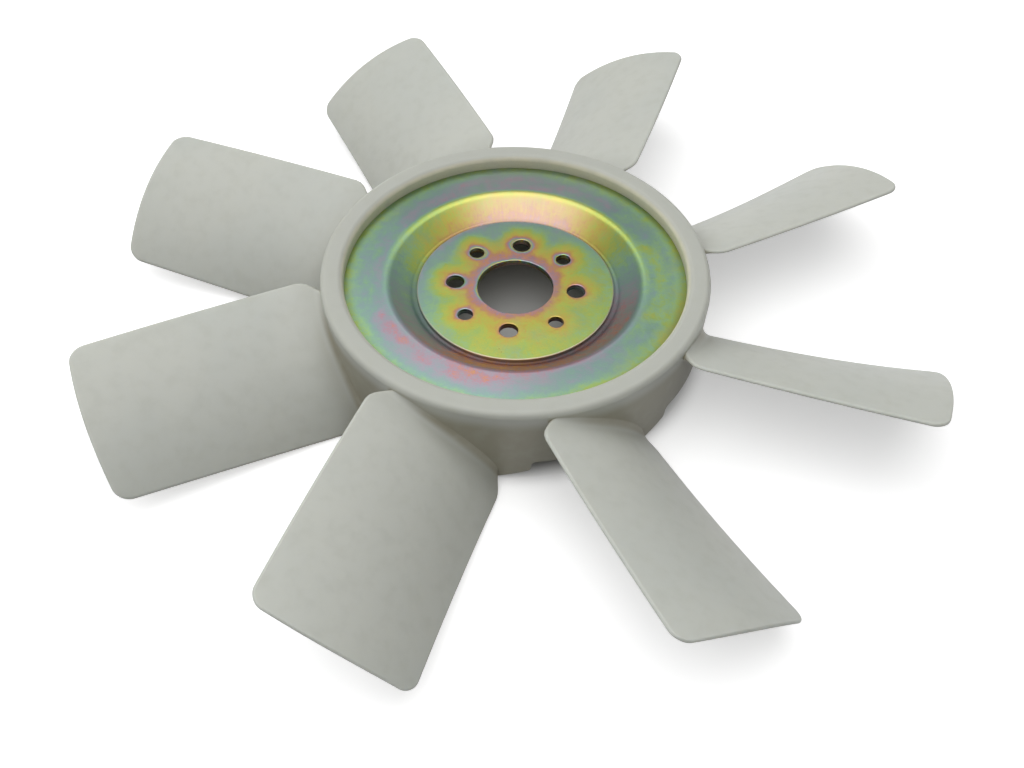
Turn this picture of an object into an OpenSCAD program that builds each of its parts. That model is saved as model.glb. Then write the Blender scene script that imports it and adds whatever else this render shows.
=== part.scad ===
// Engine cooling fan. One nylon moulding carries the hub ring and the blades. It is
// moulded round the edge of a pressed steel disc, and a flat steel plate with the
// bolt holes is welded into the floor of that disc.
// The origin is the centre of the pilot bore, on the rear face of the steel disc,
// where the fan is bolted down. +Z points to the front of the fan.

/* [Blades] */
// Number of blades
blade_count = 8; // [6:1:9]
// Diameter over the blade tips
fan_d = 486.8; // [440:0.2:540]
// Chord of a blade where it leaves the hub
chord_root = 90; // [70:0.5:92]
// Chord of a blade at its tip
chord_tip = 86; // [60:0.5:110]
// Angle between the chord and the plane of rotation, at the hub
pitch_root = 36.6; // [30:0.1:42]
// The same angle half way along the blade
pitch_mid = 33.2; // [22:0.1:38]
// The same angle at the tip
pitch_tip = 27.8; // [15:0.1:35]
// Height of the arched chord line over its ends, at the hub
camber_root = 7.4; // [2:0.1:10]
// Height of the arched chord line over its ends, at the tip
camber_tip = 6.1; // [2:0.1:10]
// Thickness of a blade at mid chord, at the hub
blade_t_root = 5; // [3.5:0.1:7]
// Thickness of a blade at mid chord, at the tip
blade_t_tip = 3; // [2.4:0.1:5]
// Thickness of a blade along its rounded edges
edge_t = 2.2; // [1.6:0.1:3]
// How far the leading edge starts below the rim's front face, at the hub
lead_drop_root = 2.5; // [1:0.1:6]
// How far the leading edge stands in front of the rim's front face, at the tip
lead_rise_tip = 0.8; // [-6:0.1:8]
// Angle by which the tip's mid chord is turned on from the root's
sweep = 1.8; // [-4:0.1:8]
// Radius of the two corners of a blade tip
tip_corner_r = 8; // [5:0.5:20]
// Angle of the first blade's root from the first large bolt hole
blade_clock = -15.4; // [-22:0.1:22]

/* [Blade root] */
// How much of the leading end is cut back where the blade meets the hub
lead_cut = 8.5; // [3:0.5:12]
// How much of the trailing end is cut back where the blade meets the hub
trail_cut = 7; // [4:0.5:12]
// Length over which both ends swing out to the full chord
shoulder_run = 14; // [10:0.5:30]
// Radius between the blade's faces and the hub wall
root_fillet = 5; // [3:0.5:7]

/* [Hub ring] */
// Outside diameter of the rim
rim_d = 220; // [206:1:230]
// Width of the rim, from its outside to its bore
rim_w = 12.8; // [10:0.1:15]
// Height of the rim's front face over the mounting face
rim_front_z = 20.9; // [18:0.1:26]
// Depth of the hub wall from the rim's front face to its rear edge
wall_depth = 40.5; // [35:0.5:42]
// Thickness of the hub wall behind the rim
wall_t = 4.5; // [3.5:0.1:6]
// Taper of the hub wall on each side, for release from the mould
draft = 1.6; // [0.5:0.1:3]
// Depth of the thick rim that holds the steel disc
rim_depth = 15; // [13:0.5:18]
// Radius of the rim's outer front edge
rim_outer_r = 3.5; // [1:0.1:5]
// Radius of the rim's inner front edge
rim_inner_r = 3.5; // [0.5:0.1:4.5]
// How far the tongues of the wall reach past the trailing ends of the blades
tongue_run = 18.5; // [10:0.5:24]
// How far the wall reaches behind the trailing end of each blade
tongue_cover = 2.2; // [0.5:0.1:3]
// How much of a tongue's depth is lost on its way from the blade to its end
tongue_rise = 5; // [0:0.5:6]
// Radius of the corners where the wall steps up from a tongue to its rear edge
notch_r = 3; // [1:0.5:3.5]
// Radius of the rim's rear edge, inside the hub
rim_rear_r = 2; // [1:0.5:4]
// Number of ribs inside the hub wall for each blade
ribs_per_blade = 2; // [1:1:3]
// Thickness of those ribs
rib_t = 3; // [2:0.1:4]
// How far the ribs start outside the rim's bore
rib_setback = 2; // [1:0.5:5]
// How far the ribs stop short of the wall's rear edge
rib_stop = 6; // [3:0.5:12]
// Depth of a rib at its inner end and its width at its rear end
rib_nose = 3; // [2:0.5:5]

/* [Steel disc] */
// Thickness of the pressed disc
disc_t = 1.6; // [1.2:0.1:2]
// Depth of the disc's flat outer zone below the rim's front face
disc_drop = 8.5; // [7:0.1:10]
// Thickness of the moulding round the disc's edge
disc_cover = 4.3; // [3:0.1:6]
// Slope of the dish wall
dish_angle = 39; // [35:1:60]
// Radius of the lip at the top of the dish, on its front face
lip_r = 5.6; // [3:0.1:7]
// Radius at the foot of the dish, on its front face
foot_r = 3.4; // [2:0.1:5]
// Number of holes in the disc's hidden edge that lock it into the moulding
key_count = 16; // [8:4:24]
// Diameter of those locking holes
key_d = 4; // [3:0.1:5]

/* [Mounting plate] */
// Diameter of the plate
plate_d = 113.5; // [104:0.5:120]
// Thickness of the plate
plate_t = 2; // [1.6:0.1:3]
// Width of the flat floor that shows round the plate
floor_margin = 1.2; // [0.8:0.1:4]
// Radius of the plate's front edge, left by the shearing tool
shear_r = 0.5; // [0.2:0.1:0.8]

/* [Bolt holes] */
// Diameter of the pilot bore
pilot_d = 43.8; // [36:0.1:48]
// Diameter of the large bolt holes
large_hole_d = 10.5; // [8:0.1:11.5]
// Diameter of the circle of large bolt holes
large_pcd = 70; // [66:0.1:76]
// Diameter of the small bolt holes
small_hole_d = 8.5; // [6:0.1:9.5]
// Diameter of the circle of small bolt holes
small_pcd = 72.5; // [68:0.1:78]

/* [Hidden] */
$fn = 96;

bolt_count = 4;
rim_r = rim_d / 2;
rim_bore_r = rim_r - rim_w;
disc_edge_r = rim_r - disc_cover;
tip_r = fan_d / 2;
plate_r = plate_d / 2;
blade_step = 360 / blade_count;

// Holes and cuts go this far past the faces of what they pierce
overcut = 1;

// Heights along the axis
disc_top_z = rim_front_z - disc_drop;
wall_rear_z = rim_front_z - wall_depth;
rim_rear_z = rim_front_z - rim_depth;

// Points along an arc about [x, y], from angle a0 to a1 in n steps
function arc(x, y, r, a0, a1, n = 6) =
    [for (i = [0 : n]) let (a = a0 + (a1 - a0) * i / n) [x + r * cos(a), y + r * sin(a)]];
function mix(a, b, k) = a + (b - a) * k;
function clamp01(x) = max(0, min(1, x));

// Blade sections lie on cylinders round the axis. u is 0 at the hub and 1 at the tip.
function span(rho) = (rho - rim_r) / (tip_r - rim_r);
function chord(u) = mix(chord_root, chord_tip, u);
function pitch(u) = mix(pitch_root, pitch_tip, u)
    + 4 * u * (1 - u) * (pitch_mid - (pitch_root + pitch_tip) / 2);
function camber(u) = mix(camber_root, camber_tip, u);
function lead_z(u) = rim_front_z + mix(-lead_drop_root, lead_rise_tip, u);
function mid_z(u) = lead_z(u) - chord(u) / 2 * sin(pitch(u));

// Rounded front corners of the blade tip, as a length cut from each end of the chord
function corner_cut(rho) =
    let (d = clamp01((rho - tip_r + tip_corner_r) / tip_corner_r))
    tip_corner_r * (1 - sqrt(1 - d * d));
// 1 at the wall and 0 past the shoulder, straight at first and then rounded
shoulder_bend = 0.4;
function shoulder(rho) =
    let (
        k = clamp01((rho - rim_r) / shoulder_run),
        c = 1 / (1 - shoulder_bend * shoulder_bend)
    )
    k < shoulder_bend ? 1 - 2 * c * (1 - shoulder_bend) * k : c * (1 - k) * (1 - k);
function lead_inset(rho) = lead_cut * shoulder(rho) + corner_cut(rho);
function trail_inset(rho) = trail_cut * shoulder(rho) + corner_cut(rho);

// How far the hub wall has drawn in from the rim's radius at height z
function lean(z) = (rim_front_z - z) * tan(draft);

// Point on the blade's middle surface, x along the chord from its leading end,
// moved off that surface by h along its normal. The root follows the leaning wall.
function blade_point(rho, x, h) =
    let (
        u = span(rho),
        s = x / chord(u),
        bow = 4 * s * (1 - s) * camber(u) + h,
        t = x - chord(u) / 2,
        around = (t * cos(pitch(u)) + bow * sin(pitch(u))) / rho * 180 / PI + sweep * u,
        up = mid_z(u) - t * sin(pitch(u)) + bow * cos(pitch(u)),
        r = rho - lean(up) * (1 - clamp01((rho - rim_r) / root_fillet))
    )
    [r * cos(around), r * sin(around), up];

// Fillet that swells the blade where it enters the wall. It is fullest at mid chord
// and runs out towards the two edges.
edge_swell = 0.3;
function swell(rho, arch) =
    let (d = clamp01((rho - rim_r) / root_fillet))
    root_fillet * (1 - sqrt(1 - (1 - d) * (1 - d))) * mix(edge_swell, 1, sqrt(arch));
// Round along the tip, which keeps a thin flat at its crest
tip_flat = 0.12;
function tip_round(rho) =
    let (d = clamp01((rho - tip_r + edge_t / 2) / (edge_t / 2))) max(tip_flat, sqrt(1 - d * d));
// Half the thickness at radius rho, a fraction k along the chord
function half_t(rho, k) =
    let (arch = 4 * k * (1 - k), mid = mix(blade_t_root, blade_t_tip, span(rho)) / 2)
    mix(edge_t / 2, mid, arch) * tip_round(rho) + swell(rho, arch);

face_steps = 7;
edge_steps = 4;
// Closed loop of points round the blade at radius rho: front face, trailing edge,
// rear face, leading edge
function blade_ring(rho) =
    let (
        e = edge_t / 2,
        x0 = lead_inset(rho) + e,
        x1 = chord(span(rho)) - trail_inset(rho) - e,
        e0 = half_t(rho, 0),
        ends = [for (i = [1 : edge_steps - 1]) 90 - 180 * i / edge_steps]
    )
    concat(
        [for (i = [0 : face_steps]) let (k = i / face_steps)
            blade_point(rho, mix(x0, x1, k), half_t(rho, k))],
        [for (a = ends) blade_point(rho, x1 + e * cos(a), e0 * sin(a))],
        [for (i = [0 : face_steps]) let (k = 1 - i / face_steps)
            blade_point(rho, mix(x0, x1, k), -half_t(rho, k))],
        [for (a = ends) blade_point(rho, x0 - e * cos(a), -e0 * sin(a))]
    );

// Where the blade's middle surface meets the wall: [angle round the axis, height]
function root_trace(x) =
    let (p = blade_point(rim_r, x, 0)) [atan2(p[1], p[0]), p[2]];

root_end = root_trace(chord_root - trail_cut);
tongue_z = root_end[1] - edge_t / 2 - tongue_cover;
tongue_end = root_end[0] + tongue_run / rim_r * 180 / PI;
// Stretch of the root that lies behind the wall's rear edge and needs a tongue
root_steps = 40;
root_low = [for (i = [0 : root_steps])
    let (p = root_trace((chord_root - trail_cut) * i / root_steps))
    if (p[1] < wall_rear_z) p];
root_picks = 4;

// The wall's outer and inner faces both lean with the draft
wall_rear_r = rim_r - lean(wall_rear_z);
tongue_r = rim_r - lean(tongue_z);
wall_in_r = wall_rear_r - wall_t;
function wall_inner(z) = wall_in_r - (z - wall_rear_z) * tan(draft);

// Radii of the sections: the first inside the wall, then close over the fillet and the
// shoulder, wider along the blade and close again round the tip
root_sink = 0.4 * wall_t;
body_start = rim_r + root_fillet;
body_end = tip_r - tip_corner_r;
body_steps = 11;
body_crowding = 1.3;
blade_radii = concat(
    [rim_r - root_sink],
    [for (k = [0.03, 0.14, 0.36, 0.68]) rim_r + root_fillet * k],
    [for (i = [0 : body_steps])
        mix(body_start, body_end, pow(i / body_steps, body_crowding))],
    [for (a = [22, 42, 60]) body_end + tip_corner_r * sin(a)],
    [tip_r - edge_t / 2, tip_r - edge_t / 8, tip_r]
);

// Closed skin over rings of equally many points, with flat strips across both ends
module loft(rings) {
    n = len(rings[0]);
    m = len(rings);
    half = n / 2;
    fold = face_steps + edge_steps / 2;
    cap = [for (i = [0 : half - 2]) [(fold - i + n) % n, (fold - i - 1 + n) % n,
        (fold + i + 2) % n, (fold + i + 1) % n]];
    skin = [for (j = [0 : m - 2]) for (i = [0 : n - 1]) let (k = (i + 1) % n)
        each [[j * n + i, j * n + k, (j + 1) * n + k],
            [j * n + i, (j + 1) * n + k, (j + 1) * n + i]]];
    root_cap = [for (q = cap) each [[q[0], q[1], q[2]], [q[0], q[2], q[3]]]];
    tip_cap = [for (q = cap) each [[q[0], q[2], q[1]], [q[0], q[3], q[2]]]];
    top = (m - 1) * n;
    polyhedron(
        points = [for (r = rings) each r],
        faces = concat(skin, root_cap, [for (f = tip_cap) [for (v = f) v + top]])
    );
}

module blades() {
    for (i = [0 : blade_count - 1])
        rotate([0, 0, blade_clock + i * blade_step])
            loft([for (rho = blade_radii) blade_ring(rho)]);
}

// Outline of the gap between two tongues, unrolled about the middle of that gap: up
// from the end of one tongue to the wall's rear edge, along it, and down the next
// blade's root
module gap_outline() {
    next = [for (i = [0 : root_picks])
        root_low[round((len(root_low) - 1) * i / root_picks)] + [blade_step, 0]];
    mid = (tongue_end + next[0][0]) / 2;
    start_x = wall_rear_r * sin(root_end[0] - mid);
    end_x = wall_rear_r * sin(tongue_end - mid);
    low = tongue_z - overcut;
    lean = atan(tongue_rise / (end_x - start_x));
    corner_z = tongue_z + tongue_rise;
    rotate([0, 0, mid])
        rotate([90, 0, 90])
            linear_extrude(rim_r)
                polygon(concat(
                    [[start_x, low], [start_x, tongue_z]],
                    arc(end_x - notch_r, corner_z + notch_r, notch_r, lean - 90, 0, 5),
                    arc(end_x + notch_r, wall_rear_z - notch_r, notch_r, 180, 90),
                    [for (p = next) [wall_rear_r * sin(p[0] - mid), p[1]]],
                    [[wall_rear_r * sin(next[root_picks][0] - mid), low]]
                ));
}

module ring_wall() {
    rotate_extrude()
        polygon(concat(
            arc(rim_bore_r + rim_inner_r, rim_front_z - rim_inner_r, rim_inner_r, 180, 90, 8),
            arc(rim_r - rim_outer_r, rim_front_z - rim_outer_r, rim_outer_r, 90, -draft, 8),
            [[tongue_r, tongue_z], [wall_inner(tongue_z), tongue_z]],
            arc(wall_inner(rim_rear_z) - rim_rear_r, rim_rear_z - rim_rear_r, rim_rear_r, 0, 90, 4),
            [[rim_bore_r, rim_rear_z]]
        ));
}

// Three-cornered ribs that stiffen the wall behind the rim, sunk into both
weld = 1;
module ribs() {
    out = wall_in_r + weld;
    top = rim_rear_z + weld;
    low = wall_rear_z + rib_stop;
    for (i = [0 : blade_count * ribs_per_blade - 1])
        rotate([90, 0, blade_clock + i * blade_step / ribs_per_blade])
            translate([0, 0, -rib_t / 2])
                linear_extrude(rib_t)
                    polygon([[rim_bore_r + rib_setback, top], [wall_in_r, top], [out, low],
                        [wall_in_r - rib_nose, low],
                        [rim_bore_r + rib_setback, rim_rear_z - rib_nose]]);
}

module fan_moulding() {
    color([0.80, 0.81, 0.77]) {
        difference() {
            ring_wall();
            for (i = [0 : blade_count - 1])
                rotate([0, 0, blade_clock + i * blade_step]) gap_outline();
            disc_body();
        }
        ribs();
        blades();
    }
}

// Radii of the dish, worked out from the plate that sits in it
floor_r = plate_r + floor_margin;
dish_rise = disc_top_z - disc_t;
dish_slant = (dish_rise - (foot_r + lip_r) * (1 - cos(dish_angle))) / sin(dish_angle);
dish_run = (foot_r + lip_r) * sin(dish_angle) + dish_slant * cos(dish_angle);
lip_start_r = floor_r + dish_run;

module through_hole(x, d) {
    translate([x, 0, -overcut]) cylinder(d = d, h = disc_t + plate_t + 2 * overcut);
}

module hole_circle(d, pcd, start) {
    for (i = [0 : bolt_count - 1])
        rotate([0, 0, start + i * 360 / bolt_count]) through_hole(pcd / 2, d);
}

module bolt_holes() {
    through_hole(0, pilot_d);
    hole_circle(large_hole_d, large_pcd, 0);
    hole_circle(small_hole_d, small_pcd, 180 / bolt_count);
}

// The disc before its bolt holes are punched
module disc_body() {
    difference() {
        rotate_extrude()
            polygon(concat(
                [[0, disc_t]],
                arc(floor_r, disc_t + foot_r, foot_r, -90, dish_angle - 90),
                arc(lip_start_r, disc_top_z - lip_r, lip_r, 90 + dish_angle, 90),
                [[disc_edge_r, disc_top_z], [disc_edge_r, disc_top_z - disc_t]],
                arc(lip_start_r, disc_top_z - lip_r, lip_r - disc_t, 90, 90 + dish_angle),
                arc(floor_r, disc_t + foot_r, foot_r + disc_t, dish_angle - 90, -90),
                [[0, 0]]
            ));
        for (i = [0 : key_count - 1])
            rotate([0, 0, i * 360 / key_count])
                translate([(rim_bore_r + disc_edge_r) / 2, 0, disc_top_z - disc_t - overcut])
                    cylinder(d = key_d, h = disc_t + 2 * overcut);
    }
}

module formed_disc() {
    color([0.60, 0.66, 0.45])
        difference() {
            disc_body();
            bolt_holes();
        }
}

module mounting_plate() {
    color([0.68, 0.70, 0.42])
        difference() {
            rotate_extrude()
                polygon(concat(
                    [[0, disc_t], [plate_r, disc_t]],
                    arc(plate_r - shear_r, disc_t + plate_t - shear_r, shear_r, 0, 90, 3),
                    [[0, disc_t + plate_t]]
                ));
            bolt_holes();
        }
}

fan_moulding();
formed_disc();
mounting_plate();
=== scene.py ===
# Engine cooling fan: a nylon moulding with eight twisted blades, a dished steel disc
# moulded into its hub ring, and a flat steel plate with the bolt holes.
# All lengths are in metres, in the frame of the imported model: the origin is the centre
# of the pilot bore on the disc's rear face, and +Z points to the front of the fan.
import math

import bpy
from mathutils import Matrix, Vector


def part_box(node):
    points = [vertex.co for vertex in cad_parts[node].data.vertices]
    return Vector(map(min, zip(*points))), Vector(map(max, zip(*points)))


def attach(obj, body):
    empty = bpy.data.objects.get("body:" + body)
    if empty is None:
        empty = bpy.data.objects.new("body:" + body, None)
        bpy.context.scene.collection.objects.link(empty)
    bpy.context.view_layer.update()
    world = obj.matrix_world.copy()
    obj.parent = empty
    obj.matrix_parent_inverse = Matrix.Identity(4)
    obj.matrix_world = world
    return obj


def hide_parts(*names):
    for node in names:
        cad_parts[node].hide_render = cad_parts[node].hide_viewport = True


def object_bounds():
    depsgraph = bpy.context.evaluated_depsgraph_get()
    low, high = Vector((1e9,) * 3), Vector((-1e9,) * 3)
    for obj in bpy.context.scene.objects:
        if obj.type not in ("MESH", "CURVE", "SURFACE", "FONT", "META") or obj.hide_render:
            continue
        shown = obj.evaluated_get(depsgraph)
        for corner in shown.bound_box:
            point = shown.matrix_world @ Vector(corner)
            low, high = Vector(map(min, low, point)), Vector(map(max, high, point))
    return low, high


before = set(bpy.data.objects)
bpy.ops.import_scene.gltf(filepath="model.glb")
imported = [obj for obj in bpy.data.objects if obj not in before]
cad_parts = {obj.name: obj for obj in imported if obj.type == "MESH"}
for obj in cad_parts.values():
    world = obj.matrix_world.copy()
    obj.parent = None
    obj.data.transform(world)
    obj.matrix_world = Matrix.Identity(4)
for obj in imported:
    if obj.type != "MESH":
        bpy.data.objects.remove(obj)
cad_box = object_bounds()


# Mounting plate
# A flat round plate sheared from 2 mm steel sheet and welded into the floor of the
# dish. It is zinc plated and yellow chromated, and the film colours it in bands that
# follow its edges: pink at a hole, then gold, green, blue-grey and mauve.
plate_low, plate_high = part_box("mounting_plate")
plate_r = (plate_high[0] - plate_low[0]) / 2
disc_t = plate_low[2]
plate_top_z = plate_high[2]
sheared_r = 0.0005
burr_r = 0.00015
pilot_r = 0.0219
hole_lip = 0.0004
bolts_per_circle = 4
large_bolts = (0.00525, 0.035, 0)
small_bolts = (0.00425, 0.03625, 45)
cut_past = 0.001


def arc(x, z, radius, start, end, steps=8):
    """Points on an arc about (x, z), with its angles in degrees."""
    angles = [math.radians(start + (end - start) * i / steps) for i in range(steps + 1)]
    return [(x + radius * math.cos(a), z + radius * math.sin(a)) for a in angles]


def mesh_piece(name, points, faces):
    """A new object in the scene, its faces turned outwards."""
    mesh = bpy.data.meshes.new(name)
    mesh.from_pydata(points, [], faces)
    volume = sum(
        Vector(points[f[0]]).dot(Vector(points[f[i]]).cross(Vector(points[f[i + 1]])))
        for f in faces
        for i in range(1, len(f) - 1)
    )
    if volume < 0:
        mesh.flip_normals()
    piece = bpy.data.objects.new(name, mesh)
    bpy.context.scene.collection.objects.link(piece)
    return piece


def turned(name, outline, steps=256):
    """A solid of revolution round the axis, from a closed outline of (radius, height)."""
    count = len(outline)
    points = []
    for i in range(steps):
        a = 2 * math.pi * i / steps
        points += [(r * math.cos(a), r * math.sin(a), z) for r, z in outline]
    faces = []
    for i in range(steps):
        here, there = i * count, (i + 1) % steps * count
        for j in range(count):
            k = (j + 1) % count
            faces.append((here + j, there + j, there + k, here + k))
    return mesh_piece(name, points, faces)


def placed_copy(piece, place):
    """The mesh of a tool moved to its place, in a new object."""
    mesh = piece.data.copy()
    mesh.transform(place)
    copy = bpy.data.objects.new(piece.name + "_copy", mesh)
    bpy.context.scene.collection.objects.link(copy)
    return copy


def combine(piece, tools, operation):
    """Cuts the tools from the piece, or welds them to it, and removes them."""
    for tool in tools:
        step = piece.modifiers.new("step", "BOOLEAN")
        step.operation = operation
        step.solver = "MANIFOLD"
        step.object = tool
    graph = bpy.context.evaluated_depsgraph_get()
    result = bpy.data.meshes.new_from_object(piece.evaluated_get(graph))
    result.materials.clear()
    piece.modifiers.clear()
    old = piece.data
    piece.data = result
    result.name = old.name
    bpy.data.meshes.remove(old)
    for tool in tools:
        bpy.data.objects.remove(tool)


def smooth(piece, degrees=32):
    """Shades the curved faces smoothly and keeps the edges sharper than that angle."""
    piece.data.shade_smooth()
    piece.data.set_sharp_from_angle(angle=math.radians(degrees))


def levelled(piece):
    """Shades the level faces flat, so that a rounded hole leaves no dimple in them."""
    for face in piece.data.polygons:
        if abs(face.normal.z) > 0.99999:
            face.use_smooth = False


def punched(piece, low_z, high_z):
    """Cuts the bolt holes, each with the small drawn-in lip that a punch leaves."""
    tools = []
    for radius, circle, start in (large_bolts, small_bolts):
        outline = (
            [(radius, low_z - cut_past)]
            + arc(radius + hole_lip, high_z - hole_lip, hole_lip, 180, 90, 5)
            + [(radius + hole_lip, high_z + cut_past)]
            + [(0, high_z + cut_past), (0, low_z - cut_past)]
        )
        punch = rod("punch", outline)
        for i in range(bolts_per_circle):
            turn = Matrix.Rotation(math.radians(start + 360 / bolts_per_circle * i), 4, "Z")
            tools.append(placed_copy(punch, turn @ Matrix.Translation((circle, 0, 0))))
        bpy.data.objects.remove(punch)
    combine(piece, tools, "DIFFERENCE")


def rod(name, outline, steps=64):
    """A solid of revolution whose outline starts off the axis and ends with two points
    on it."""
    rim = outline[:-2]
    count = len(rim)
    points = []
    for i in range(steps):
        a = 2 * math.pi * i / steps
        points += [(r * math.cos(a), r * math.sin(a), z) for r, z in rim]
    faces = []
    for i in range(steps):
        here, there = i * count, (i + 1) % steps * count
        faces += [(here + j, there + j, there + j + 1, here + j + 1) for j in range(count - 1)]
    faces.append([i * count for i in reversed(range(steps))])
    faces.append([i * count + count - 1 for i in range(steps)])
    return mesh_piece(name, points, faces)


class Signal:
    """An output socket in a finish, with arithmetic that adds Math nodes."""

    def __init__(self, finish, socket):
        self.finish = finish
        self.socket = socket

    def maths(self, operation, *values):
        inputs = dict(enumerate(values))
        return self.finish.node("ShaderNodeMath", {"operation": operation}, inputs)

    def __add__(self, other):
        return self.maths("ADD", self, other)

    def __sub__(self, other):
        return self.maths("SUBTRACT", self, other)

    def __rsub__(self, other):
        return self.maths("SUBTRACT", other, self)

    def __mul__(self, other):
        return self.maths("MULTIPLY", self, other)

    def __truediv__(self, other):
        return self.maths("DIVIDE", self, other)

    __radd__ = __add__

    def fading(self, length):
        """1 where the signal is 0, and a fall to nothing over a few such lengths."""
        share = self / -length
        return self.maths("EXPONENT", share)

    def between(self, low, high):
        """A smooth step from 0 at low to 1 at high."""
        settings = {"interpolation_type": "SMOOTHSTEP"}
        return self.finish.node("ShaderNodeMapRange", settings, {0: self, 1: low, 2: high})


class Finish:
    """A material, built node by node on one Principled shader, or the studio's walls."""

    def __init__(self, name, kind=bpy.data.materials, shader="Principled BSDF", space="Object"):
        self.owner = kind.new(name)
        self.owner.use_nodes = True
        self.tree = self.owner.node_tree
        self.shader = self.tree.nodes[shader]
        self.place = self.node("ShaderNodeTexCoord", output=space)
        self.x, self.y, self.z = [
            self.node("ShaderNodeSeparateXYZ", {}, {0: self.place}, output=axis)
            for axis in "XYZ"
        ]

    def node(self, kind, settings={}, inputs={}, output=0):
        """Adds a node: its settings first, then the values or links of its sockets."""
        new = self.tree.nodes.new(kind)
        for key, value in settings.items():
            if key == "stops":
                ramp = new.color_ramp
                while len(ramp.elements) < len(value):
                    ramp.elements.new(0.5)
                for element, (position, colour) in zip(ramp.elements, value):
                    element.position = position
                    element.color = (*colour, 1)
            else:
                setattr(new, key, value)
        for key, value in inputs.items():
            if isinstance(value, Signal):
                self.tree.links.new(value.socket, new.inputs[key])
            else:
                new.inputs[key].default_value = value
        return Signal(self, new.outputs[output])

    def mixed(self, share, first, second):
        """The second colour laid over the first, by its share."""
        settings = {"data_type": "RGBA"}
        return self.node("ShaderNodeMix", settings, {0: share, 6: first, 7: second}, 2)

    def noise(self, scale, detail=3, place=None):
        """Cloudy noise between 0 and 1, with its grain given in cycles a metre."""
        inputs = {"Vector": place or self.place, "Scale": scale, "Detail": detail}
        return self.node("ShaderNodeTexNoise", {}, inputs)

    def bump(self, height, depth):
        """Turns heights between 0 and 1 into relief of that depth on the shader."""
        relief = self.node("ShaderNodeBump", {}, {"Height": height, "Distance": depth})
        self.feed(Normal=relief)

    def feed(self, **sockets):
        """Sets the shader's sockets, named with underscores for spaces."""
        for key, value in sockets.items():
            socket = self.shader.inputs[key.replace("_", " ")]
            if isinstance(value, Signal):
                self.tree.links.new(value.socket, socket)
            else:
                socket.default_value = value


def seen(red, green, blue):
    """A colour as it shows on a screen, from 0 to 255, in linear light."""
    def linear(level):
        level /= 255
        return level / 12.92 if level <= 0.04045 else ((level + 0.055) / 1.055) ** 2.4
    return (linear(red), linear(green), linear(blue))


def film_colours(finish, film):
    """The colour of a chromate film by its thickness: the bands come round once for
    each whole number."""
    bands = [
        (0.0, seen(226, 166, 144)),
        (0.06, seen(228, 180, 124)),
        (0.12, seen(232, 198, 112)),
        (0.2, seen(228, 212, 106)),
        (0.3, seen(214, 222, 110)),
        (0.4, seen(192, 220, 126)),
        (0.5, seen(176, 216, 162)),
        (0.6, seen(164, 204, 180)),
        (0.7, seen(164, 194, 190)),
        (0.78, seen(176, 188, 194)),
        (0.86, seen(190, 182, 194)),
        (0.93, seen(206, 168, 182)),
        (1.0, seen(226, 166, 144)),
    ]
    around = film.maths("FRACT", film)
    return finish.node("ShaderNodeValToRGB", {"stops": bands}, {0: around})


def plating(finish, film, shine, painted_shade, painted_highlight=0.0):
    """Zinc under a chromate film: coloured metal with a fine satin grain, darkened by painted
    shade and turned paler zinc by a painted highlight, each by its share."""
    # The pale zinc colour is laid on as a painted highlight, and the near-black one as painted
    # shade.
    highlight_zinc = (0.62, 0.52, 0.46, 1)
    dull_zinc = (0.5, 0.5, 0.47, 1)
    dark_shade = (0.06, 0.05, 0.04, 1)
    grain_depth = 0.00004
    grain = finish.noise(900, 3)
    cloud = finish.noise(220, 4)
    wear = finish.noise(70, 5)
    colour = film_colours(finish, film + (cloud - 0.5) * 0.26 + (grain - 0.5) * 0.2)
    highlighted = finish.mixed(painted_highlight, colour, highlight_zinc)
    dulled = finish.mixed(wear.between(0.45, 0.75) * 0.2, highlighted, dull_zinc)
    finish.feed(
        Base_Color=finish.mixed(painted_shade, dulled, dark_shade),
        Metallic=1.0,
        Roughness=shine + (cloud - 0.5) * 0.12 + (grain - 0.5) * 0.12,
    )
    finish.bump(grain, grain_depth)


def from_axis(finish):
    """Distance from the axis."""
    squares = finish.x * finish.x + finish.y * finish.y
    return squares.maths("SQRT", squares)


def from_holes(finish):
    """Distances to the pilot bore and to the nearest hole of each bolt circle."""
    reach = from_axis(finish)
    turn = finish.x.maths("ARCTAN2", finish.y, finish.x)
    gaps = [reach - pilot_r]
    sector = 2 * math.pi / bolts_per_circle
    for radius, circle, start in (large_bolts, small_bolts):
        middle = math.radians(start)
        folded = turn.maths("WRAP", turn, middle + sector / 2, middle - sector / 2) - middle
        along = reach * folded.maths("COSINE", folded) - circle
        across = reach * folded.maths("SINE", folded)
        away = along * along + across * across
        gaps.append(away.maths("SQRT", away) - radius)
    return gaps


plate = turned(
    "mounting_plate_sheet",
    [(pilot_r, disc_t + burr_r), (pilot_r + burr_r, disc_t)]
    + arc(plate_r - burr_r, disc_t + burr_r, burr_r, -90, 0, 3)
    + arc(plate_r - sheared_r, plate_top_z - sheared_r, sheared_r, 0, 90)
    + arc(pilot_r + hole_lip, plate_top_z - hole_lip, hole_lip, 90, 180),
)
punched(plate, disc_t, plate_top_z)
smooth(plate)
levelled(plate)

# A film is counted in rounds of its colours: 0 is pink, 0.2 yellow, 0.5 green and 0.8
# blue-grey. The plate's is pink beside a hole, then gold, and full on the open sheet.
pink, gold, green = 0.98, 0.25, 0.53
bore_gold, bore_full = (0.002, 0.0105), (0.006, 0.018)
bolt_gold, bolt_full = (-0.0005, 0.0045), (0.003, 0.0135)
punch_ring = 0.0006
burr_band = (plate_r - 0.0009, plate_r - 0.0004)
side_band = (plate_top_z - 0.0007, plate_top_z - 0.0003)

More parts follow.
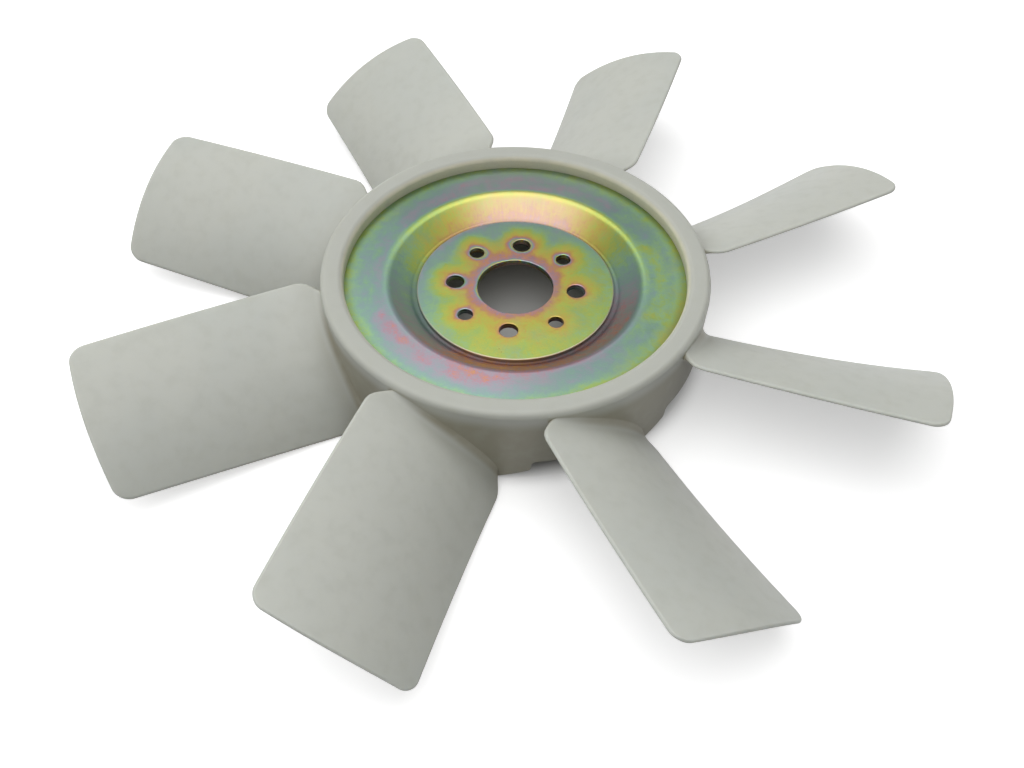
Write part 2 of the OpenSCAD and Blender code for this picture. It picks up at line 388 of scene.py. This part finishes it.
plate_film = Finish("plate_chromate")
reach = from_axis(plate_film)
far_left = (plate_film.y * 0.87 - plate_film.x * 0.5) / reach
uneven = (plate_film.noise(60, 3) - 0.5) * 0.008 - far_left * 0.0015
bore_gap, large_gap, small_gap = [gap + uneven for gap in from_holes(plate_film)]
past_pink = bore_gap.between(*bore_gold)
past_gold = bore_gap.between(*bore_full)
punched_edge = bore_gap.fading(punch_ring)
for gap in (large_gap, small_gap):
    past_pink = past_pink * gap.between(*bolt_gold)
    past_gold = past_gold * gap.between(*bolt_full)
    punched_edge = punched_edge + gap.fading(punch_ring)
plate_cloud = (plate_film.noise(42, 4) - 0.5) * 0.42
plate_margin = reach.between(plate_r - 0.006, plate_r) * (far_left * 0.06 + 0.06)
open_film = green + far_left * 0.15 + plate_cloud + plate_margin
film = pink + past_pink * gold + (open_film - gold) * past_gold - punched_edge * 0.2
# Painted shade on the plate's sheared side face.
side_wall = 1 - plate_film.z.between(*side_band)
# Painted highlight: the rounded top edge of the plate is paler.
burr = reach.between(*burr_band)
plating(plate_film, film, 0.32, side_wall * 0.5, burr * 0.7)
plate.data.materials.append(plate_film.owner)
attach(plate, "root")
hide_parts("mounting_plate")


# Formed disc
# A disc pressed from 1.6 mm steel sheet: a flat floor, a dish wall at 39 degrees and a
# flat outer zone, whose edge is moulded into the rim. Plated and chromated before that,
# so its bands of colour turn with the slope of the sheet and stop at the nylon.
disc_low, disc_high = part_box("formed_disc")
disc_r = (disc_high[0] - disc_low[0]) / 2
disc_top_z = disc_high[2]
floor_margin = 0.0012
lip_r = 0.0056
foot_r = 0.0034
dish_angle = 39
key_count = 16
key_r = 0.002
rim_bore_r = 0.0972
key_circle = (rim_bore_r + disc_r) / 2

floor_r = plate_r + floor_margin
bends = foot_r + lip_r
dish_lean = math.radians(dish_angle)
dish_slant = (disc_top_z - disc_t - bends * (1 - math.cos(dish_lean))) / math.sin(dish_lean)
lip_start_r = floor_r + bends * math.sin(dish_lean) + dish_slant * math.cos(dish_lean)


def key_pins(low_z, high_z):
    """The pegs of nylon that fill the holes in the disc's edge."""
    outline = [(key_r, low_z), (key_r, high_z), (0, high_z), (0, low_z)]
    pin = rod("key_pin", outline, 24)
    pins = []
    for i in range(key_count):
        turn = Matrix.Rotation(2 * math.pi * i / key_count, 4, "Z")
        pins.append(placed_copy(pin, turn @ Matrix.Translation((key_circle, 0, 0))))
    bpy.data.objects.remove(pin)
    return pins


disc = turned(
    "formed_disc_sheet",
    [(pilot_r, 0), (pilot_r, disc_t)]
    + arc(floor_r, disc_t + foot_r, foot_r, -90, dish_angle - 90, 12)
    + arc(lip_start_r, disc_top_z - lip_r, lip_r, 90 + dish_angle, 90, 16)
    + [(disc_r, disc_top_z), (disc_r, disc_top_z - disc_t)]
    + arc(lip_start_r, disc_top_z - lip_r, lip_r - disc_t, 90, 90 + dish_angle, 16)
    + arc(floor_r, disc_t + foot_r, foot_r + disc_t, dish_angle - 90, -90, 12),
    384,
)
punched(disc, 0, disc_t)
combine(disc, key_pins(-cut_past, disc_top_z + cut_past), "DIFFERENCE")
smooth(disc, 50)
levelled(disc)

# The disc's film changes with the slope of the sheet and round the axis. Its places are
# named as on a map, with north at +Y and east at +X.
wrap_r = 0.08
on_lip_band = (lip_start_r - 0.0055, lip_start_r - 0.0015)
on_flat_band = (lip_start_r - 0.001, lip_start_r + 0.003)

disc_film = Finish("disc_chromate")
reach = from_axis(disc_film)
east = disc_film.x / reach
north = disc_film.y / reach
east_2 = east * east
north_2 = north * north
near_side = (0 - north).between(0.1, 0.9)
south_east = (east - north).between(0.9, 1.4)
flanks = north.between(0.3, 0.6) * (1 - north.between(0.75, 0.95))
belt, drawn = [
    disc_film.node(
        "ShaderNodeCombineXYZ", {}, {0: east * wrap_r, 1: north * wrap_r, 2: reach * stretch}
    )
    for stretch in (2.2, 0.15)
]
speckle = (disc_film.noise(150, 3) - 0.5) * 0.26
hairlines = (disc_film.noise(700, 2, drawn) - 0.5) * 0.2

patches = (disc_film.noise(42, 5, belt) - 0.5) * (0.75 - near_side * 0.25)
swing = north_2 - east_2 - east * 0.9
crest = reach.between(lip_start_r - 0.004, 0.078) * (1 - reach.between(0.083, 0.092) * 0.6)
near_lip = near_side * (1 - reach.between(0.074, 0.09)) * 0.16 - south_east * 0.09
rim_fall = reach.between(0.088, rim_bore_r) * 0.16
flat_film = 0.55 + (swing * 0.09 + 0.16 + patches) * crest + near_lip - rim_fall + speckle

turn_east = east * (0.14 - east * 0.03 - north_2 * 0.14) - north_2 * east_2 * 0.25
foot_film = 0.67 - north * 0.5 - north_2 * 0.17 + turn_east
up_slope = reach.between(floor_r, lip_start_r - 0.002)
slope_film = foot_film + up_slope * (north + 1) * (0.08 - east * 0.06) + hairlines + speckle

lip_film = 0.56 - north * 0.31 + near_side * 0.07
on_lip = reach.between(*on_lip_band)
on_flat = reach.between(*on_flat_band)
dish_film = slope_film + (lip_film - slope_film) * on_lip
film = dish_film + (flat_film - dish_film) * on_flat + 1

# Painted shade: darker in the corner beside the plate, near the rim and on the dish's north-west
# and north-east flanks, and also darker towards the south-east.
in_corner = 1 - reach.between(floor_r - 0.0005, floor_r + 0.003)
at_rim = reach.between(0.091, rim_bore_r)
half_lip = 1 - on_lip * 0.5
painted_shade = in_corner * 0.6 + at_rim * 0.35 + south_east * 0.15 + flanks * half_lip * 0.2
# Painted highlight: the north side of the disc is paler, less so on the lip.
painted_highlight = north.between(0.72, 1.0) * (1 - on_lip * 0.6) * 0.5
plating(disc_film, film, 0.42 - on_flat * 0.08, painted_shade, painted_highlight)
disc.data.materials.append(disc_film.owner)
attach(disc, "root")
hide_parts("formed_disc")


# Fan moulding
# Hub ring and blades are one injection moulding in natural white nylon, slightly
# translucent, with a satin face. The mould closes round the edge of the steel disc, so
# the disc can't be taken out again. The blades run into the wall with a fillet.
blade_count = 8
tip_r = 0.24335
chord_root, chord_tip = 0.0896, 0.0859
pitch_root, pitch_mid, pitch_tip = 36.6, 33.2, 27.8
camber_root, camber_tip = 0.0074, 0.0061
blade_t_root, blade_t_tip = 0.005, 0.003
edge_t = 0.0022
lead_drop_root, lead_rise_tip = 0.0025, 0.0007
sweep = 1.8
tip_corner_r = 0.008
blade_clock = -15.4
lead_cut, trail_cut = 0.0085, 0.007
shoulder_run = 0.014
shoulder_bend = 0.4
root_fillet = 0.005

rim_r = 0.110
rim_front_z = 0.0209
wall_depth = 0.0405
wall_t = 0.0045
draft = math.tan(math.radians(1.6))
rim_depth = 0.015
rim_outer_r = 0.0035
rim_inner_r = 0.0035
rim_rear_r = 0.002
tongue_run = 0.0185
tongue_cover = 0.0022
tongue_rise = 0.005
notch_r = 0.003
ribs_per_blade = 2
rib_t = 0.003
rib_setback = 0.002
rib_stop = 0.006
rib_nose = 0.003
rib_weld = 0.001
pin_weld = 0.0005
wall_cut = (0.09, 0.115)

blade_step = 360 / blade_count
wall_rear_z = rim_front_z - wall_depth
rim_rear_z = rim_front_z - rim_depth


def mix(a, b, share):
    return a + (b - a) * share


def clamped(x):
    return max(0.0, min(1.0, x))


def span(rho):
    return (rho - rim_r) / (tip_r - rim_r)


def pitch(u):
    straight = mix(pitch_root, pitch_tip, u)
    bulge = 4 * u * (1 - u) * (pitch_mid - (pitch_root + pitch_tip) / 2)
    return math.radians(straight + bulge)


def lean(z):
    """How far the wall has drawn in from the rim's radius at that height."""
    return (rim_front_z - z) * draft


def shoulder(rho):
    """1 at the wall and 0 past the shoulder, straight at first and then rounded."""
    k = clamped((rho - rim_r) / shoulder_run)
    c = 1 / (1 - shoulder_bend ** 2)
    return 1 - 2 * c * (1 - shoulder_bend) * k if k < shoulder_bend else c * (1 - k) ** 2


def corner_cut(rho):
    d = clamped((rho - tip_r + tip_corner_r) / tip_corner_r)
    return tip_corner_r * (1 - math.sqrt(1 - d * d))


def swell(rho, arch):
    """The fillet at the root, fullest at mid chord and fading to the two edges."""
    d = 1 - clamped((rho - rim_r) / root_fillet)
    return root_fillet * (1 - math.sqrt(1 - d * d)) * mix(0.3, 1, math.sqrt(arch))


def half_thickness(rho, k):
    arch = 4 * k * (1 - k)
    d = clamped((rho - tip_r + edge_t / 2) / (edge_t / 2))
    middle = mix(blade_t_root, blade_t_tip, span(rho)) / 2
    return mix(edge_t / 2, middle, arch) * max(0.05, math.sqrt(1 - d * d)) + swell(rho, arch)


def blade_point(rho, x, height):
    """A point x along the chord, on a cylinder of radius rho, that height off the
    blade's middle surface."""
    u = span(rho)
    chord = mix(chord_root, chord_tip, u)
    tilt = pitch(u)
    s = x / chord
    bow = 4 * s * (1 - s) * mix(camber_root, camber_tip, u) + height
    t = x - chord / 2
    around = (t * math.cos(tilt) + bow * math.sin(tilt)) / rho + math.radians(sweep * u)
    lead_z = rim_front_z + mix(-lead_drop_root, lead_rise_tip, u)
    up = lead_z - x * math.sin(tilt) + bow * math.cos(tilt)
    r = rho - lean(up) * (1 - clamped((rho - rim_r) / root_fillet))
    return (r * math.cos(around), r * math.sin(around), up)


def blade_ring(rho, face_steps=36, edge_steps=12):
    """A closed loop round the blade: front face, trailing edge, rear face, leading edge."""
    e = edge_t / 2
    x0 = lead_cut * shoulder(rho) + corner_cut(rho) + e
    x1 = mix(chord_root, chord_tip, span(rho)) - trail_cut * shoulder(rho) - corner_cut(rho) - e
    shares = [(1 - math.cos(math.pi * i / face_steps)) / 2 for i in range(face_steps + 1)]
    turns = [math.radians(90 - 180 * i / edge_steps) for i in range(1, edge_steps)]
    edge = half_thickness(rho, 0)
    ring = [blade_point(rho, mix(x0, x1, k), half_thickness(rho, k)) for k in shares]
    ring += [blade_point(rho, x1 + e * math.cos(a), edge * math.sin(a)) for a in turns]
    shares.reverse()
    ring += [blade_point(rho, mix(x0, x1, k), -half_thickness(rho, k)) for k in shares]
    ring += [blade_point(rho, x0 - e * math.cos(a), -edge * math.sin(a)) for a in turns]
    return ring


def blade(turn):
    """One blade, from inside the wall to its rounded tip."""
    body_start, body_end = rim_r + root_fillet, tip_r - tip_corner_r
    radii = [rim_r - 0.4 * wall_t, rim_r + 0.02 * root_fillet]
    radii += [rim_r + root_fillet * (1 - math.cos(math.radians(a))) for a in range(20, 90, 10)]
    radii += [mix(body_start, body_end, (i / 30) ** 1.15) for i in range(31)]
    corner = tip_corner_r - edge_t / 2
    radii += [body_end + corner * math.sin(math.radians(a)) for a in range(8, 90, 8)]
    radii += [tip_r - edge_t / 2 * (1 - math.sin(math.radians(a))) for a in range(0, 91, 15)]
    rings = [blade_ring(rho) for rho in radii]
    count = len(rings[0])
    points = [p for ring in rings for p in ring]
    faces = [tuple(reversed(range(count)))]
    for j in range(len(rings) - 1):
        here, there = j * count, (j + 1) * count
        for i in range(count):
            k = (i + 1) % count
            faces.append((here + i, here + k, there + k, there + i))
    faces.append(tuple(range(len(points) - count, len(points))))
    piece = mesh_piece("blade", points, faces)
    piece.data.transform(Matrix.Rotation(math.radians(turn), 4, "Z"))
    return piece


def root_trace(x):
    """Where the blade's middle surface meets the rim's radius: angle and height."""
    p = blade_point(rim_r, x, 0)
    return math.atan2(p[1], p[0]), p[2]


root_length = chord_root - trail_cut
root_end = root_trace(root_length)
tongue_z = root_end[1] - edge_t / 2 - tongue_cover
tongue_end = root_end[0] + tongue_run / rim_r
wall_rear_r = rim_r - lean(wall_rear_z)
wall_in_r = wall_rear_r - wall_t


def wall_inner(z):
    return wall_in_r - (z - wall_rear_z) * draft


def prism(name, outline, near, far, turn):
    """An outline of (across, height), pushed out from one radius to another."""
    count = len(outline)
    points = [(near, a, z) for a, z in outline] + [(far, a, z) for a, z in outline]
    faces = [tuple(reversed(range(count))), tuple(range(count, 2 * count))]
    faces += [(i, (i + 1) % count, (i + 1) % count + count, i + count) for i in range(count)]
    piece = mesh_piece(name, points, faces)
    piece.data.transform(Matrix.Rotation(turn, 4, "Z"))
    return piece


def tongue_gap(turn):
    """What is cut from the wall between two tongues: up the end of one, along the
    wall's rear edge and down the next blade's root."""
    low = [root_trace(root_length * i / 60) for i in range(61)]
    root = [(a + math.radians(blade_step), z) for a, z in low if z < wall_rear_z]
    middle = (tongue_end + root[0][0]) / 2
    start_x = wall_rear_r * math.sin(root_end[0] - middle)
    end_x = wall_rear_r * math.sin(tongue_end - middle)
    slope = math.degrees(math.atan(tongue_rise / (end_x - start_x)))
    corner_z = tongue_z + tongue_rise
    outline = (
        [(start_x, tongue_z - cut_past), (start_x, tongue_z)]
        + arc(end_x - notch_r, corner_z + notch_r, notch_r, slope - 90, 0, 10)
        + arc(end_x + notch_r, wall_rear_z - notch_r, notch_r, 180, 90, 10)
        + [(wall_rear_r * math.sin(a - middle), z) for a, z in root]
        + [(wall_rear_r * math.sin(root[-1][0] - middle), tongue_z - cut_past)]
    )
    return prism("tongue_gap", outline, *wall_cut, turn + middle)


def rib(turn):
    """A three-cornered rib that stiffens the wall behind the rim."""
    inner_r = rim_bore_r + rib_setback
    low = wall_rear_z + rib_stop
    outline = [
        (inner_r, rim_rear_z + rib_weld),
        (wall_in_r, rim_rear_z + rib_weld),
        (wall_in_r + rib_weld, low),
        (wall_in_r - rib_nose, low),
        (inner_r, rim_rear_z - rib_nose),
    ]
    side = rib_t / 2
    points = [(r, -side, z) for r, z in outline] + [(r, side, z) for r, z in outline]
    count = len(outline)
    faces = [tuple(range(count)), tuple(reversed(range(count, 2 * count)))]
    faces += [(i, i + count, (i + 1) % count + count, (i + 1) % count) for i in range(count)]
    piece = mesh_piece("rib", points, faces)
    piece.data.transform(Matrix.Rotation(turn, 4, "Z"))
    return piece


def straight(start, end, steps):
    """Points along a line, without its last one, so that the wall has even rows."""
    return [
        (mix(start[0], end[0], i / steps), mix(start[1], end[1], i / steps))
        for i in range(steps)
    ]


draft_angle = math.degrees(math.atan(draft))
outer_top = arc(rim_r - rim_outer_r, rim_front_z - rim_outer_r, rim_outer_r, 90, -draft_angle, 14)
inner_top = arc(rim_bore_r + rim_inner_r, rim_front_z - rim_inner_r, rim_inner_r, 180, 90, 16)
tongue_r = rim_r - lean(tongue_z)
tongue_in = (wall_inner(tongue_z), tongue_z)
rear_round = arc(wall_inner(rim_rear_z) - rim_rear_r, rim_rear_z - rim_rear_r, rim_rear_r, 0, 90, 8)
groove = [
    (rim_bore_r, disc_top_z - disc_t),
    (disc_r, disc_top_z - disc_t),
    (disc_r, disc_top_z),
    (rim_bore_r, disc_top_z),
]
ring_outline = (
    inner_top
    + outer_top[:-1]
    + straight(outer_top[-1], (tongue_r, tongue_z), 16)
    + straight((tongue_r, tongue_z), tongue_in, 2)
    + straight(tongue_in, rear_round[0], 12)
    + rear_round
    + [(rim_bore_r, rim_rear_z)]
    + groove
)
moulding = turned("fan_moulding_body", ring_outline, 384)
turns = [math.radians(blade_clock + i * blade_step) for i in range(blade_count)]
combine(moulding, [tongue_gap(turn) for turn in turns], "DIFFERENCE")
rib_step = math.radians(blade_step / ribs_per_blade)
ribs = [rib(turns[0] + rib_step * i) for i in range(blade_count * ribs_per_blade)]
pins = key_pins(disc_top_z - disc_t - pin_weld, disc_top_z + pin_weld)
blades = [blade(math.degrees(turn)) for turn in turns]
combine(moulding, ribs + pins + blades, "UNION")
smooth(moulding, 38)

nylon = Finish("natural_nylon")
flow = nylon.noise(14, 3)
mottle = nylon.noise(130, 4)
grain = nylon.noise(1500, 2)
reach = from_axis(nylon)
# Painted shade: the hub ring and the blade roots are a little darker than the rest of the blades.
hub_ring_shade = 1 - reach.between(rim_r, rim_r + 0.02)
# Painted shade on the upper part of the hub wall, under the rim.
under_rim = (1 - reach.between(rim_r, rim_r + 0.003)) * (1 - nylon.z.between(0.007, 0.016))
# Painted light: a lighter warm tone on the rounding into the bore, standing in for light reflected
# from the plated disc.
in_bore = 1 - reach.between(rim_bore_r, rim_bore_r + 0.002)
# Painted shade: a warm darker tone in the crevices that the occlusion node finds.
nook = nylon.node("ShaderNodeAmbientOcclusion", {"samples": 8}, {"Distance": 0.03}, "AO")
cream = nylon.mixed(flow.between(0.35, 0.7), (*seen(194, 196, 188), 1), (*seen(190, 193, 186), 1))
for share, shade in [
    (hub_ring_shade, seen(182, 184, 176)),
    (under_rim * 0.9, seen(150, 146, 128)),
    (in_bore, seen(214, 210, 190)),
    (nook.between(0.75, 0.3), seen(158, 153, 132)),
    (mottle.between(0.4, 0.8) * 0.3, seen(176, 178, 168)),
]:
    cream = nylon.mixed(share, cream, (*shade, 1))
nylon.feed(
    Base_Color=cream,
    Roughness=0.46 + (mottle - 0.5) * 0.12,
    Subsurface_Weight=0.4,
    Subsurface_Radius=(1.0, 0.95, 0.8),
    Subsurface_Scale=0.005,
    IOR=1.53,
)
nylon.bump(grain * 0.5 + mottle * 0.5, 0.00002)
moulding.data.materials.append(nylon.owner)
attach(moulding, "root")
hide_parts("fan_moulding")


# Floor and light
# A plain white paper floor, one wide soft lamp overhead, two weak ones low down, and
# grey walls all round. The paper shows white in the open and keeps the fan's shadow.
# Under the hub it is painted darker and gets no glow: a painted shade where the ring
# keeps the light out.
floor_z = cad_box[0][2]
floor_size = 60.0
paper_seen, paper_glow = 0.1, 0.42
paper_bounce = 0.9
under_hub_shade = (0.55, 0.55, 0.53, 1)

bpy.ops.mesh.primitive_plane_add(size=floor_size, location=(0, 0, floor_z))
floor = bpy.context.object
floor.name = "floor"


def looked_at_by(finish):
    """1 for what the camera sees directly, in a mirror or through glass, and else 0."""
    camera, glossy, through = [
        finish.node("ShaderNodeLightPath", output=f"Is {name} Ray")
        for name in ("Camera", "Glossy", "Transmission")
    ]
    return camera.maths("MAXIMUM", camera.maths("MAXIMUM", camera, glossy), through)


def plain(level):
    """A grey of that level."""
    return (level, level, level, 1)


paper = Finish("white_paper")
looked_at = looked_at_by(paper)
# Painted shade: under the hub the paper is darker and gets no glow.
past_hub = from_axis(paper).between(rim_bore_r, rim_bore_r + 0.02)
paper_with_hub_shade = paper.mixed(past_hub, under_hub_shade, plain(paper_bounce))
paper.feed(
    Base_Color=paper.mixed(looked_at, plain(paper_seen), paper_with_hub_shade),
    Emission_Color=paper.mixed(looked_at * past_hub, plain(0), plain(paper_glow)),
    Emission_Strength=1.0,
    Roughness=0.9,
)
floor.data.materials.append(paper.owner)

lamp_height = 2.4
lamp_brightness = 1.32
lamp_sides = (1.36 * lamp_height, 1.74 * lamp_height)
lamp_offset = (-0.03, -0.17, 1)
lamp_turn = Matrix.Rotation(math.radians(-14), 3, "Z")
lamp = bpy.data.lights.new("overhead", "AREA")
lamp.shape = "RECTANGLE"
lamp.size, lamp.size_y = lamp_sides
lamp.energy = lamp_brightness * math.pi * lamp_sides[0] * lamp_sides[1]
overhead = bpy.data.objects.new("overhead", lamp)
overhead.location = lamp_turn @ Vector(lamp_offset) * lamp_height
overhead.rotation_euler = lamp_turn.to_euler()
overhead.visible_camera = False
bpy.context.scene.collection.objects.link(overhead)

fill_distance = 3.0
fill_size = 2.0
fill_lamps = [("side", (-0.75, 0.4, 0.53), 0.34), ("front", (-0.4, -0.8, 0.45), 0.08)]
for name, direction, brightness in fill_lamps:
    fill_lamp = bpy.data.lights.new(name, "AREA")
    fill_lamp.size = fill_size
    fill_lamp.energy = brightness * (math.pi * fill_distance) ** 2
    fill = bpy.data.objects.new(name, fill_lamp)
    fill.location = Vector(direction).normalized() * fill_distance
    fill.rotation_euler = fill.location.to_track_quat("Z", "Y").to_euler()
    fill.visible_camera = False
    fill.visible_glossy = False
    bpy.context.scene.collection.objects.link(fill)

walls = Finish("studio_walls", bpy.data.worlds, "Background", "Generated")
grey = [(0.0, (0.06,) * 3), (0.4, (0.3,) * 3), (1.0, (0.3,) * 3)]
up_wall = walls.z + walls.y * 0.25 + 0.15
walls.feed(Color=walls.node("ShaderNodeValToRGB", {"stops": grey}, {0: up_wall}))
bpy.context.scene.world = walls.owner
bpy.context.scene.view_settings.view_transform = "Standard"


# Camera
# The place and the direction that the photograph was taken from: the fan is seen from
# its front at 43 degrees over the plane of the blades, from 0.6 m.
view_elevation = math.radians(43.06)
view_azimuth = math.radians(5.59)
view_distance = 0.60175
view_roll = math.radians(-0.78)
picture_w, picture_h = 1024, 768
focal_px = 1059.74
rim_centre_px = (515.68, 264.17)

right = Vector((1, 0, 0))
upward = Vector((0, math.sin(view_elevation), math.cos(view_elevation)))
back = Vector((0, -math.cos(view_elevation), math.sin(view_elevation)))
aim = Vector((
    (rim_centre_px[0] - picture_w / 2) / focal_px,
    (picture_h / 2 - rim_centre_px[1]) / focal_px,
    -1,
))
off_centre = Vector((0, 0, -1)).rotation_difference(aim).to_matrix()
to_camera = off_centre @ Matrix.Rotation(view_roll, 3, "Z") @ Matrix((right, upward, back))
about_axis = Matrix.Rotation(view_azimuth, 3, "Z")

lens = bpy.data.cameras.new("camera")
lens.sensor_width = 36
lens.lens = focal_px / picture_w * lens.sensor_width
camera = bpy.data.objects.new("camera", lens)
stand = about_axis @ (back * view_distance) + Vector((0, 0, rim_front_z))
camera.matrix_world = Matrix.Translation(stand) @ (about_axis @ to_camera.transposed()).to_4x4()
bpy.context.scene.collection.objects.link(camera)
bpy.context.scene.camera = camera
